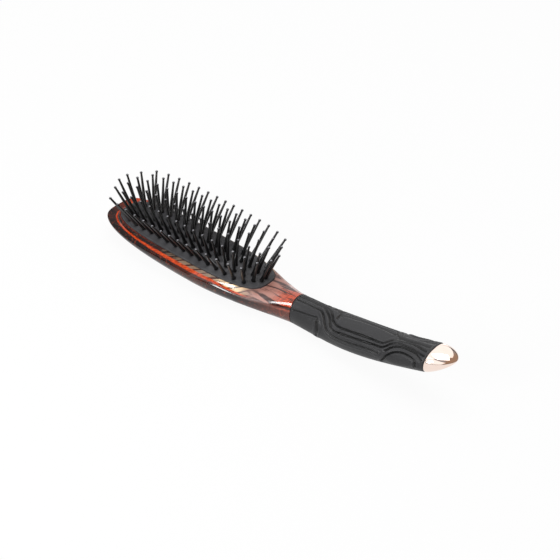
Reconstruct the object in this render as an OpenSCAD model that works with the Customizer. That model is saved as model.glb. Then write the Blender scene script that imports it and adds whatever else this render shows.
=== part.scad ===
// Detangling brush, lying on its back with the pins up.
// X runs along the brush with the handle at +X, Z points out of the cushion, and Y = 0 is the mirror plane.
// Sizes are in millimetres. Names that end in share, shares, power, slope or deg hold no length.

/* [Cushion] */
// Length of the cushion pad
pad_l = 97; // [94:0.5:99]
// Width of the cushion pad at its middle
pad_w = 28; // [27:0.5:29.5]
// How far the pad's crown stands above its edge
pad_rise = 3.0; // [2:0.1:4]
// Thickness of the rubber
pad_thick = 1.3; // [1:0.1:1.6]

/* [Pins] */
// Distance between pin lines across the brush
line_pitch = 4.1; // [3.8:0.05:4.2]
// Length of a pin above the rubber, ball included
pin_l = 18.6; // [15:0.1:19.5]
// Radius of a pin at its root
pin_root_r = 0.9; // [0.7:0.02:1]
// Radius of a pin just under its ball
pin_tip_r = 0.52; // [0.4:0.02:0.58]
// Radius of the ball tip
ball_r = 0.72; // [0.62:0.01:0.8]
// Outward lean of the outermost pins, in degrees
fan_deg = 37; // [25:0.5:40]

/* [Head] */
// How far the rim reaches beyond the pad at the nose
nose_over = 7.2; // [7:0.1:10]
// Width of the head over its rim
head_w = 37; // [36.4:0.2:40]
// Depth from the cushion's edge down to the back
head_depth = 13.4; // [12.5:0.1:13.5]
// Distance from the pad's middle to where the rubber grip starts
neck_reach = 68; // [64:0.5:70]
// Width of the neck where the grip starts
neck_w = 13.2; // [12:0.2:16]
// Height of the neck where the grip starts
neck_h = 16.2; // [14:0.2:17]

/* [Grip and cap] */
// Length of the rubber grip
grip_l = 81.3; // [75:0.1:95]
// Width of the grip at its thickest
grip_w = 17.6; // [16.5:0.1:19]
// Height of the grip at its thickest
grip_h = 16.4; // [14:0.1:17]
// Width of the handle where the cap starts
cap_w = 18; // [16:0.1:19]
// Height of the handle where the cap starts
cap_h = 12.8; // [12:0.1:14]
// Length of the cap
cap_l = 12.2; // [10:0.1:15]
// Wall of the rubber grip over the tang
grip_wall = 2.4; // [2:0.1:2.8]
// Depth of the grooves in the grip
groove_depth = 0.4; // [0.2:0.05:0.6]

/* [Hidden] */
$fn = 48;

// Outlines seen from above
pad_power = 3.18;
crease_power = 2.9;
crease_out = 2.6;
crease_drop = 2.4;
heel_share = 0.6;
heel_power = 2.4;
heel_fade_share = 0.45;
lip_out = 0.8;
lip_drop = 0.5;
head_power = 3.7;
head_fade_power = 1.04;
widest_x = 10;

// Recess under the pad
pad_gap = 0.3;
pad_edge_rise = 0.2;
pad_edge_depth = 1.4;
bead_w = 1.1;
bead_slope_w = 0.4;
ledge_depth = 1.7;
ledge_w = 1.3;
chamber_depth = 5.6;

// Sections of the head and handle
rim_drop = 5.2;
nose_lift = 3.1;
lift_power = 3;
neck_drop = 5.6;
back_nose_share = 0.7;
back_neck_share = 1.03;
section_power = 2.2;
start_slope = 0.014;
end_slope = 0.358;
cap_slope = 0.38;
swell_share = 0.45;
cap_wide_power = 1.8;
cap_high_power = 1.3;
cap_high_end_power = 1.5;

// Grooves of the grip
groove_every = 4;
groove_fade_share = 0.06;
swing_deg = 9;
swing_waves = 1.5;

// Fits between tang, grip and cap
sleeve_fit = 0.05;
cap_fit = 0.05;
tang_short = 0.1;
spigot_r = 2.2;
spigot_l = 11;
spigot_fit = 0.05;
spigot_root = 2;
bore_extra = 0.8;

// Places and leans of the pins
pitch_share = 0.0573;
row_shift_share = 0.164;
middle_row = 9;
line_shares = [-2.5, -1.5, -0.5, 0.5, 1.5, 2.5];
stagger_shares = [0, 0.5, 0, 0, 0.5, 0];
reach_shares = [0.835, 0.891, 0.948, 0.948, 0.891, 0.835];
outer_line_share = 2.5;
inner_line_share = 1;
nose_fan_slope = 0.62;
nose_fan_power = 1.6;
heel_fan_slope = 0.476;
heel_fan_power = 2;
fan_fade_share = 0.35;
edge_share = 0.8;
edge_end_share = 0.97;
inner_keep_share = 0.75;

// One pin
foot_gap = 0.55;
head_gap = 0.8;
foot_r = 1.15;
foot_l = 1.3;
head_r = 1.15;
head_l = 0.8;
shank_r = 0.7;
hole_fit = 0.25;
hole_extra = 1.5;

// How finely the swept skins are cut
turn_steps = 80;
pad_steps = 64;
quarter_steps = 8;
grip_steps = 64;
cap_steps = 40;
nose_shares = [0.004, 0.03, 0.1, 0.25, 0.48, 0.75];
neck_shares = [0.25, 0.5, 0.75, 1];
tang_shares = [0, 0.14, 0.28, 0.42, 0.56, 0.7, 0.84, 1];
grip_count = 36;
cap_shares = [0, 0.12, 0.26, 0.4, 0.54, 0.67, 0.79, 0.88, 0.95, 0.985];
pad_shares = [0.96, 0.88, 0.76, 0.6, 0.42, 0.22];

// Lengths worked out from the ones above
pad_a = pad_l / 2;
pad_b = pad_w / 2;
crease_start = pad_a + crease_out;
lip_end = pad_a + lip_out;
heel_end = lip_end + (neck_reach - lip_end) * heel_share;
nose_x = -(pad_a + nose_over);
grip_end = neck_reach + grip_l;
cap_start = grip_end + cap_fit;
cap_end = grip_end + cap_l;
tang_end = grip_end - tang_short;
frame_shift = (nose_x + cap_end) / 2;
row_pitch = pad_l * pitch_share;
row_shift = row_pitch * row_shift_share;

// A number between two others, by share
function mix(p, q, share) = p + (q - p) * share;
// A share that starts and ends level
function ease(share) = (1 - cos(180 * min(max(share, 0), 1))) / 2;
// A power that keeps the sign
function spow(v, power) = sign(v) * pow(abs(v), power);
// The falling branch of a superellipse: 1 at 0 and 0 at 1
function fall(share, power) = pow(max(1 - pow(min(abs(share), 1), power), 0), 1 / power);
// A size that swells from one end to its middle value and goes on to the other end's
function swell(first, middle, last, share) =
  share < swell_share
    ? mix(first, middle, ease(share / swell_share))
    : mix(middle, last, ease((share - swell_share) / (1 - swell_share)));

// A point of an outline at a turn (in degrees, 0 at the nose), lying out beyond the pad's own
function outline(turn, out, power) =
  [-(pad_a + out) * spow(cos(turn), 2 / power), (pad_b + out) * spow(sin(turn), 2 / power)];
// How far out a place on the pad is: 0 in its middle and 1 at its edge
function pad_reach(x, y) =
  pow(pow(abs(x) / pad_a, pad_power) + pow(abs(y) / pad_b, pad_power), 1 / pad_power);
// Height of the pad's top
function pad_top(x, y) = pad_edge_rise + pad_rise * (1 - pow(min(pad_reach(x, y), 1), 2));

// Height of the handle's middle line
function handle_mid(x) =
  let (run = min(x, grip_end) - neck_reach, past = max(x - grip_end, 0))
  -neck_drop + start_slope * run + (end_slope - start_slope) * run * run / grip_l / 2 + cap_slope * past;
// How far along the neck's taper x lies
function taper_share(x) = (x - widest_x) / (neck_reach - widest_x);
// How far along the nose's rounding x lies: 0 at the widest place and 1 at the tip
function nose_share(x) = (widest_x - x) / (widest_x - nose_x);
// Height of a section's widest place
function mid_z(x) =
  x >= neck_reach
    ? handle_mid(x)
    : mix(-rim_drop, -neck_drop, ease(taper_share(x))) + nose_lift * pow(max(nose_share(x), 0), lift_power);
// Half width of the head's and neck's sections
function half_w(x) =
  x <= widest_x
    ? head_w / 2 * fall(nose_share(x), head_power)
    : mix(neck_w / 2, head_w / 2, pow(cos(90 * taper_share(x)), head_fade_power));
// Depth of the head's and neck's sections under their widest place
function half_d(x) =
  let (deep = head_depth - rim_drop)
  x <= widest_x
    ? deep * mix(back_neck_share, back_nose_share, ease(nose_share(x))) * fall(nose_share(x), head_power)
    : mix(deep * back_neck_share, neck_h / 2, ease(taper_share(x)));
// Height of the top of the nose and of the neck, in the mirror plane
function ridge_z(x) =
  x < 0
    ? mix(nose_lift - rim_drop, -crease_drop, fall((-crease_start - x) / (nose_over - crease_out), 2))
    : mix(-lip_drop, neck_h / 2 - neck_drop, (x - lip_end) / (neck_reach - lip_end));
// Height of the neck's round top away from the mirror plane
function crown_z(x, y) = mix(mid_z(x), ridge_z(x), fall(y / half_w(x), section_power));
// A height on the head's rim, given way to the neck's round top towards the heel
function to_crown(z, x, y) =
  x > pad_a * heel_fade_share
    ? mix(z, crown_z(x, y), ease((x / pad_a - heel_fade_share) / (1 - heel_fade_share)))
    : z;
// The crease line at a turn: close to the pad from the nose on, then drawn out over the neck, where it fades
function crease_xy(turn) =
  cos(turn) > 0
    ? outline(turn, crease_out, crease_power)
    : [-heel_end * spow(cos(turn), 2 / heel_power), (pad_b + crease_out) * spow(sin(turn), 2 / heel_power)];

// One open section of the head's skin, from its top edge round under the back to the other top edge
function skin_section(x, top_y, top_z) =
  let (w = half_w(x), d = half_d(x), mid = mid_z(x), q = quarter_steps)
  [for (j = [0:4 * q])
    let (side = j <= 2 * q ? 1 : -1, turn = 90 * (j <= 2 * q ? j : 4 * q - j) / q,
      high = spow(cos(turn), 2 / section_power), wide = spow(sin(turn), 2 / section_power),
      y = turn <= 90 ? top_y + (w - top_y) * wide : w * wide)
    [x, side * y, turn <= 90
      ? to_crown(mid + (top_z - mid) * high, x, y)
      : max(mid + d * high, -head_depth)]];

// Half width and half height of the handle at a share of the grip's length
function handle_a(share) = swell(neck_w / 2, grip_w / 2, cap_w / 2, share);
function handle_b(share) = swell(neck_h / 2, grip_h / 2, cap_h / 2, share);
// A point of the handle's section, drawn in by a depth all round
function handle_point(share, turn, depth) =
  let (x = mix(neck_reach, grip_end, share), a = handle_a(share) - depth, b = handle_b(share) - depth)
  [x, a * spow(sin(turn), 2 / section_power),
    max(handle_mid(x) + b * spow(cos(turn), 2 / section_power), depth - head_depth)];
// One closed section of the tang, with as many points as a skin section
function tang_section(share) =
  let (tang_share = share * (tang_end - neck_reach) / grip_l, steps = 4 * quarter_steps)
  [for (j = [0:steps]) handle_point(tang_share, 360 * j / steps, grip_wall)];

// Faces between two open rows of points, and between two closed ones
function open_strip(p, q, count) =
  [for (j = [0:count - 1]) each [[p + j, p + j + 1, q + j + 1], [p + j, q + j + 1, q + j]]];
function closed_strip(p, q, count) =
  [for (j = [0:count - 1])
    let (k = (j + 1) % count)
    each [[p + j, p + k, q + k], [p + j, q + k, q + j]]];
// Faces from a closed row of points to one point
function fan(p, tip, count) = [for (j = [0:count - 1]) [p + j, p + (j + 1) % count, tip]];
// The same faces, seen from the other side
function flip(faces) = [for (face = faces) [for (k = [len(face) - 1:-1:0]) face[k]]];
// Rows of points as one list
function flat(rows) = [for (row = rows) each row];

// Head, neck and tang in one skin, with the cushion's recess sunk in from the crease line
module body_form() {
  steps = 4 * quarter_steps;
  half = turn_steps / 2;
  nose = [for (share = nose_shares) mix(nose_x, -crease_start, share)];
  neck = [for (share = neck_shares) mix(heel_end, neck_reach, share)];
  head = [for (m = [0:half]) crease_xy(180 * m / half)];
  sections = concat(
    [for (x = nose) skin_section(x, 0, ridge_z(x))],
    [for (spot = head) skin_section(spot.x, spot.y, -crease_drop)],
    [for (x = neck) skin_section(x, 0, ridge_z(x))],
    [for (share = tang_shares) tang_section(share)]);
  recess = [
    [lip_out, -lip_drop],
    [pad_gap, -lip_drop],
    [pad_gap, -ledge_depth],
    [pad_gap - ledge_w, -ledge_depth],
    [pad_gap - ledge_w, -chamber_depth]];
  rings = [for (ring = recess)
    [for (m = [0:turn_steps - 1])
      let (spot = outline(360 * m / turn_steps, ring[0], pad_power))
      [spot.x, spot.y, ring[1]]]];
  crease = [for (m = [0:turn_steps - 1])
    let (spot = crease_xy(360 * m / turn_steps))
    [spot.x, spot.y, to_crown(-crease_drop, spot.x, spot.y)]];
  ring_start = len(sections) * (steps + 1);
  tip = ring_start + (len(rings) + 1) * turn_steps;
  last = ring_start - steps - 1;
  skin = [for (i = [0:len(sections) - 2]) each open_strip(i * (steps + 1), (i + 1) * (steps + 1), steps)];
  inside = [for (i = [0:len(rings) - 1])
    each closed_strip(ring_start + i * turn_steps, ring_start + (i + 1) * turn_steps, turn_steps)];
  polyhedron(
    points = concat(flat(sections), crease, flat(rings), [[nose_x, 0, nose_lift - rim_drop]]),
    faces = concat(
      [for (j = [0:steps - 1]) [tip, j + 1, j]],
      skin,
      [[for (j = [0:steps - 1]) last + j]],
      flip(inside),
      [[for (m = [0:turn_steps - 1]) ring_start + len(rings) * turn_steps + m]]),
    convexity = 6);
}

// Moves its children to the handle's end, with Z along the handle towards the cap
module at_handle_end(along) {
  translate([grip_end, 0, handle_mid(grip_end)])
    rotate([0, 90 - atan(end_slope), 0])
      translate([0, 0, along])
        children();
}

module body_shell() {
  color([0.36, 0.16, 0.11])
    difference() {
      body_form();
      at_handle_end(-spigot_l - bore_extra) cylinder(h = spigot_l * 2, r = spigot_r + spigot_fit);
    }
}

// Depth of the grip's grooves at one place
function groove(share, j) =
  j % groove_every == 0 ? groove_depth * min(min(share, 1 - share) / groove_fade_share, 1) : 0;

module grip_sleeve() {
  rows = [for (i = [0:grip_count])
    let (share = i / grip_count)
    [for (j = [0:grip_steps - 1])
      let (base = 360 * j / grip_steps, swing = swing_deg * sin(360 * swing_waves * share) * pow(sin(base), 2))
      handle_point(share, base + swing, groove(share, j))]];
  bore = [for (share = tang_shares)
    [for (j = [0:grip_steps - 1]) handle_point(share, 360 * j / grip_steps, grip_wall - sleeve_fit)]];
  bore_start = len(rows) * grip_steps;
  bore_end = bore_start + (len(bore) - 1) * grip_steps;
  color([0.09, 0.09, 0.1])
    polyhedron(
      points = concat(flat(rows), flat(bore)),
      faces = concat(
        [for (i = [0:len(rows) - 2]) each closed_strip(i * grip_steps, (i + 1) * grip_steps, grip_steps)],
        closed_strip(bore_start - grip_steps, bore_end, grip_steps),
        flip([for (i = [0:len(bore) - 2])
          each closed_strip(bore_start + i * grip_steps, bore_start + (i + 1) * grip_steps, grip_steps)]),
        closed_strip(bore_start, 0, grip_steps)),
      convexity = 6);
}

// Rounded solid end of the handle
module cap_form() {
  rows = [for (share = cap_shares)
    let (x = mix(cap_start, cap_end, share), a = cap_w / 2 * fall(share, cap_wide_power),
      b = cap_h / 2 * pow(1 - pow(share, cap_high_power), 1 / cap_high_end_power))
    [for (j = [0:cap_steps - 1])
      let (turn = 360 * j / cap_steps)
      [x, a * spow(sin(turn), 2 / section_power), handle_mid(x) + b * spow(cos(turn), 2 / section_power)]]];
  count = len(rows);
  polyhedron(
    points = concat(flat(rows), [[cap_end, 0, handle_mid(cap_end)]]),
    faces = concat(
      [[for (j = [cap_steps - 1:-1:0]) j]],
      [for (i = [0:count - 2]) each closed_strip(i * cap_steps, (i + 1) * cap_steps, cap_steps)],
      fan((count - 1) * cap_steps, count * cap_steps, cap_steps)),
    convexity = 2);
}

module end_cap() {
  color([0.86, 0.7, 0.63])
    union() {
      cap_form();
      at_handle_end(-spigot_l) cylinder(h = spigot_l + spigot_root, r = spigot_r);
    }
}

// Domed rubber pad without its holes
module pad_form() {
  rim = [for (m = [0:pad_steps - 1]) outline(360 * m / pad_steps, 0, pad_power)];
  bead = [for (m = [0:pad_steps - 1]) outline(360 * m / pad_steps, -bead_w, pad_power)];
  bend = [for (m = [0:pad_steps - 1]) outline(360 * m / pad_steps, -bead_w - bead_slope_w, pad_power)];
  top = [for (share = pad_shares) [for (p = rim) [p.x * share, p.y * share, pad_top(p.x * share, p.y * share)]]];
  under_shares = [for (k = [1:len(pad_shares) - 1]) pad_shares[k]];
  rows = concat(
    [for (k = [len(top) - 1:-1:0]) top[k]],
    [[for (p = rim) [p.x, p.y, pad_edge_rise]],
      [for (p = rim) [p.x, p.y, -pad_edge_depth]],
      [for (p = bead) [p.x, p.y, -pad_edge_depth]],
      [for (p = bend) [p.x, p.y, pad_top(p.x, p.y) - pad_thick]]],
    [for (share = under_shares)
      [for (p = rim) [p.x * share, p.y * share, pad_top(p.x * share, p.y * share) - pad_thick]]]);
  count = len(rows);
  crown = count * pad_steps;
  polyhedron(
    points = concat(flat(rows), [[0, 0, pad_top(0, 0)], [0, 0, pad_top(0, 0) - pad_thick]]),
    faces = concat(
      fan(0, crown, pad_steps),
      flip([for (i = [0:count - 2]) each closed_strip(i * pad_steps, (i + 1) * pad_steps, pad_steps)]),
      flip(fan((count - 1) * pad_steps, crown + 1, pad_steps))),
    convexity = 4);
}

// Where a row's pins stand along the brush, and whether a line has one there
function pin_x(row, line) = row_shift + (row - middle_row + stagger_shares[line]) * row_pitch;
function has_pin(row, line) = abs(pin_x(row, line)) <= reach_shares[line] * pad_a;
// How much the lines draw together at x, so that the pins keep clear of the pad's edge
function draw_in(x, line) =
  let (room = pad_b * edge_share * fall(x / (pad_a * edge_end_share), pad_power),
    share = min(room / (outer_line_share * line_pitch), 1))
  abs(line_shares[line]) < inner_line_share ? max(share, inner_keep_share) : share;
// Lean of a pin along and across the brush
function lean_along(x) =
  x > 0 ? heel_fan_slope * pow(x / pad_a, heel_fan_power) : -nose_fan_slope * pow(-x / pad_a, nose_fan_power);
function lean_across(x, line) =
  tan(fan_deg * line_shares[line] / outer_line_share * (1 - fan_fade_share * pow(x / pad_a, 2)));

// Moves its children to a pin's root, with Z along the pin
module at_pin(row, line) {
  x = pin_x(row, line);
  y = line_shares[line] * line_pitch * draw_in(x, line);
  way = [lean_along(x), lean_across(x, line), 1];
  translate([x, y, pad_top(x, y)])
    rotate([0, acos(1 / norm(way)), atan2(way.y, way.x)])
      children();
}

// One ball-tipped pin: head under the rubber, shank through it, flared foot, tapered shaft and ball
module pin() {
  under = pad_thick + head_gap;
  rotate_extrude()
    polygon([
      [0, -under - head_l],
      [head_r, -under - head_l],
      [head_r, -under],
      [shank_r, -under],
      [shank_r, foot_gap],
      [foot_r, foot_gap],
      [pin_root_r, foot_gap + foot_l],
      [pin_tip_r, pin_l - ball_r],
      [0, pin_l - ball_r]]);
  translate([0, 0, pin_l - ball_r])
    sphere(r = ball_r);
}

module pin_row(row) {
  color([0.05, 0.05, 0.055])
    for (line = [0:len(line_shares) - 1])
      if (has_pin(row, line))
        at_pin(row, line) pin();
}

module cushion_pad() {
  color([0.13, 0.13, 0.14])
    difference() {
      pad_form();
      for (row = [1:2 * middle_row - 1])
        for (line = [0:len(line_shares) - 1])
          if (has_pin(row, line))
            at_pin(row, line)
              translate([0, 0, -pad_thick - hole_extra])
                cylinder(h = pad_thick + 2 * hole_extra, r = shank_r + hole_fit, $fn = 16);
    }
}

// The part's own frame: the middle of the box's bottom at the origin
translate([-frame_shift, 0, head_depth]) {
  body_shell();
  grip_sleeve();
  end_cap();
  cushion_pad();
  pin_row(1);  // pin_row_01
  pin_row(2);  // pin_row_02
  pin_row(3);  // pin_row_03
  pin_row(4);  // pin_row_04
  pin_row(5);  // pin_row_05
  pin_row(6);  // pin_row_06
  pin_row(7);  // pin_row_07
  pin_row(8);  // pin_row_08
  pin_row(9);  // pin_row_09
  pin_row(10);  // pin_row_10
  pin_row(11);  // pin_row_11
  pin_row(12);  // pin_row_12
  pin_row(13);  // pin_row_13
  pin_row(14);  // pin_row_14
  pin_row(15);  // pin_row_15
  pin_row(16);  // pin_row_16
  pin_row(17);  // pin_row_17
}
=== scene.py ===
"""Looks of a cushion detangling brush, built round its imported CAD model.

The brush lies on its back with the pins up. X runs along it from the nose to the end cap, Y runs across it
and Z points out of the cushion. Sizes are held in millimetres, as in the CAD source, and each finished point
is turned to metres in the CAD model's own frame.
"""

import logging
import math
from collections.abc import Callable
from dataclasses import dataclass, field
from enum import Enum

import bmesh
import bpy
import numpy as np
from mathutils import Matrix, Vector
from mathutils.kdtree import KDTree

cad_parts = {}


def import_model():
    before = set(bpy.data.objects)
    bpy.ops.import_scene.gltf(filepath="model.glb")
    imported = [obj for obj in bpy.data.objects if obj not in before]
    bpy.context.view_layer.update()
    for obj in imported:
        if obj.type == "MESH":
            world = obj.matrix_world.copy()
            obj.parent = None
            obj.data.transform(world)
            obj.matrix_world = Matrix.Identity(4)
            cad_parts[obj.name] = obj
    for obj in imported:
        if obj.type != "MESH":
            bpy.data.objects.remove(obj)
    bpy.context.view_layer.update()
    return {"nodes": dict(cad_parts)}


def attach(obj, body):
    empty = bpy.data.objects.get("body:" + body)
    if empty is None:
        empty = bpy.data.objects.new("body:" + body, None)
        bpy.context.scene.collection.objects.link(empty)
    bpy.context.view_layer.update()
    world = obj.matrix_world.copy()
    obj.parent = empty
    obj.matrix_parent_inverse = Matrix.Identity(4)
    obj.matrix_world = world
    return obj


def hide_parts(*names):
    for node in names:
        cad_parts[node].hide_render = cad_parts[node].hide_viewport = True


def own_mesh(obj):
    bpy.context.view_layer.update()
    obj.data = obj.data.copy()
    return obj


Tree = bpy.types.NodeTree
Socket = bpy.types.NodeSocket
Span = tuple[float, float]
Point = tuple[float, float, float]

LOG = logging.getLogger("brush")
METRES_PER_MM = 0.001
SHARP_ANGLE = math.radians(38)
TINY = 1e-12
WHOLE: Span = (0.0, 1.0)
WHITE = "#ffffff"

# A distance and a place in metres
MERGE_DISTANCE = 1e-6
CAP_MIDDLE: Point = (0.102, 0.0, 0.029)

# Names of the attributes that the meshes carry for their finishes: the amounts of painted glow and
# reflection, the way the painted pin reflections run, the worn polish, and the groove depth that sets the
# painted groove shade
PAINTED_LIGHT = "tint"
FLOW = "flow"
RUBBED = "rubbed"
GROOVE_SHADE = "groove"

# Numbers of a blend node's sockets for colours
COLOUR_A = 6
COLOUR_B = 7
COLOUR_RESULT = 2

# Length of one wave of the wave texture at a scale of 1
WAVE_LENGTH = 0.1 * math.pi


class Slot(Enum):
    """The record's material slots."""

    SHELL = "shell"
    GRIP = "grip"
    CAP = "cap"
    PAD = "pad"


class Body(Enum):
    """The bodies that the new pieces ride on."""

    HANDLE = "handle"


def mix(first: float, second: float, share: float) -> float:
    """Returns a number between two others, by share."""
    return first + (second - first) * share


def clamp(value: float, low: float = 0.0, high: float = 1.0) -> float:
    """Returns the value, held between two limits."""
    return min(max(value, low), high)


def ease(share: float) -> float:
    """Returns a share that starts and ends level."""
    return (1 - math.cos(math.pi * clamp(share))) / 2


def rise(value: float, span: Span) -> float:
    """Returns 0 before a span, 1 past it and an eased share inside it."""
    return ease((value - span[0]) / (span[1] - span[0]))


def signed_power(value: float, power: float) -> float:
    """Returns a power that keeps the sign."""
    return math.copysign(abs(value) ** power, value)


def oval(turn: float, power: float) -> Span:
    """Returns a superellipse's two shares at a turn: the one that starts at 1, then the one across."""
    return signed_power(math.cos(turn), 2 / power), signed_power(math.sin(turn), 2 / power)


def round_turn(step: int, steps: int) -> float:
    """Returns the radians of a step round, where the last step meets the first."""
    return 2 * math.pi * (step % steps) / steps


def fall(share: float, power: float) -> float:
    """Returns the falling branch of a superellipse: 1 at 0 and 0 at 1."""
    return max(1 - min(abs(share), 1) ** power, 0) ** (1 / power)


def bell(distance: float, width: float) -> float:
    """Returns a smooth bump: 1 at no distance, and small past the width."""
    return math.exp(-((distance / width) ** 2))


def hump(value: float, spot: Span) -> float:
    """Returns a smooth bump round a place that is given with its width."""
    return bell(value - spot[0], spot[1])


def linear_colour(code: str) -> tuple[float, float, float, float]:
    """Turns an sRGB hex colour to linear light.

    Args:
        code: a hash sign and six hex digits.

    Returns:
        Red, green, blue and an alpha of 1.
    """
    parts = [int(code[start : start + 2], 16) / 255 for start in (1, 3, 5)]
    linear = [part / 12.92 if part <= 0.04045 else ((part + 0.055) / 1.055) ** 2.4 for part in parts]
    return (linear[0], linear[1], linear[2], 1.0)


def per_metre(size_mm: float) -> float:
    """Returns the pattern scale whose features measure this many millimetres."""
    return 1 / (size_mm * METRES_PER_MM)


def add_node(tree: Tree, kind: str, links: dict | None = None, **settings: object) -> bpy.types.Node:
    """Adds one node to a tree.

    Args:
        tree: the node tree that takes it.
        kind: the node's type name.
        links: a value or a source socket for each input, by the input's name or number.
        settings: the node's own properties.

    Returns:
        The new node.
    """
    node = tree.nodes.new(kind)
    for name, value in settings.items():
        setattr(node, name, value)
    for name, value in (links or {}).items():
        socket = node.inputs[name]
        if isinstance(value, Socket):
            tree.links.new(value, socket)
        else:
            socket.default_value = value
    return node


def noise(tree: Tree, place: Socket, size_mm: float, detail: float, **more: float) -> Socket:
    """Adds a noise pattern and returns its value; more of its inputs can be named."""
    links = {"Vector": place, "Scale": per_metre(size_mm), "Detail": detail, **more}
    return add_node(tree, "ShaderNodeTexNoise", links).outputs["Fac"]


def ramp(tree: Tree, value: Socket, span: Span, to: Span = WHOLE) -> Socket:
    """Adds a node that turns one span of a value to another, and returns the new value."""
    links = {"Value": value, "From Min": span[0], "From Max": span[1], "To Min": to[0], "To Max": to[1]}
    return add_node(tree, "ShaderNodeMapRange", links).outputs["Result"]


def reckon(tree: Tree, operation: str, first: Socket, second: Socket | float) -> Socket:
    """Adds a sum, a product or the like of two values, and returns it."""
    return add_node(tree, "ShaderNodeMath", {0: first, 1: second}, operation=operation).outputs["Value"]


def blend(tree: Tree, share: Socket, first: Socket | str, second: Socket | str) -> Socket:
    """Adds a blend of two colours.

    Args:
        tree: the node tree.
        share: how much of the second colour shows.
        first: a hex code, or the socket that gives the colour.
        second: the same for the other colour.

    Returns:
        The blended colour.
    """
    sides = [linear_colour(side) if isinstance(side, str) else side for side in (first, second)]
    links = {"Factor": share, COLOUR_A: sides[0], COLOUR_B: sides[1]}
    return add_node(tree, "ShaderNodeMix", links, data_type="RGBA").outputs[COLOUR_RESULT]


def smooth_ramp(tree: Tree, value: Socket, span: Span) -> Socket:
    """Adds a node that goes smoothly from 0 to 1 over a span, and returns the share."""
    links = {"Value": value, "From Min": span[0], "From Max": span[1]}
    return add_node(tree, "ShaderNodeMapRange", links, interpolation_type="SMOOTHSTEP").outputs["Result"]


def backdrop(tree: Tree, colour: Socket | tuple, strength: float) -> Socket:
    """Adds a background of one colour and returns its shader."""
    links = {"Color": colour, "Strength": strength}
    return add_node(tree, "ShaderNodeBackground", links).outputs["Background"]


def blend_shaders(tree: Tree, share: Socket, first: Socket, second: Socket) -> Socket:
    """Adds a blend of two shaders and returns it."""
    return add_node(tree, "ShaderNodeMixShader", {"Fac": share, 1: first, 2: second}).outputs["Shader"]


def drawn_out(tree: Tree, place: Socket, squeeze: float, turn: float = 0.0) -> Socket:
    """Adds a mapping that draws a pattern out along X after a turn round Z, and returns the new place."""
    links = {"Vector": place, "Rotation": (0, 0, turn), "Scale": (squeeze, 1, 1)}
    return add_node(tree, "ShaderNodeMapping", links).outputs["Vector"]


def bump(tree: Tree, height: Socket, strength: float, depth_mm: float) -> Socket:
    """Adds a fine relief and returns its normal."""
    links = {"Height": height, "Strength": strength, "Distance": depth_mm * METRES_PER_MM}
    return add_node(tree, "ShaderNodeBump", links).outputs["Normal"]


def attribute(tree: Tree, name: str) -> bpy.types.Node:
    """Adds a reader of one of the mesh's own attributes."""
    return add_node(tree, "ShaderNodeAttribute", attribute_name=name)


def new_material(name: str) -> tuple[bpy.types.Material, Tree, Socket]:
    """Makes an empty node material.

    Args:
        name: the material's name.

    Returns:
        The material, its node tree and the object coordinates in it.
    """
    material = bpy.data.materials.new(name)
    material.use_nodes = True
    tree = material.node_tree
    tree.nodes.clear()
    return material, tree, add_node(tree, "ShaderNodeTexCoord").outputs["Object"]


def finish_skin(tree: Tree, links: dict) -> None:
    """Adds the surface shader with its inputs and joins it to the output."""
    skin = add_node(tree, "ShaderNodeBsdfPrincipled", links)
    add_node(tree, "ShaderNodeOutputMaterial", {"Surface": skin.outputs["BSDF"]})


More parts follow.
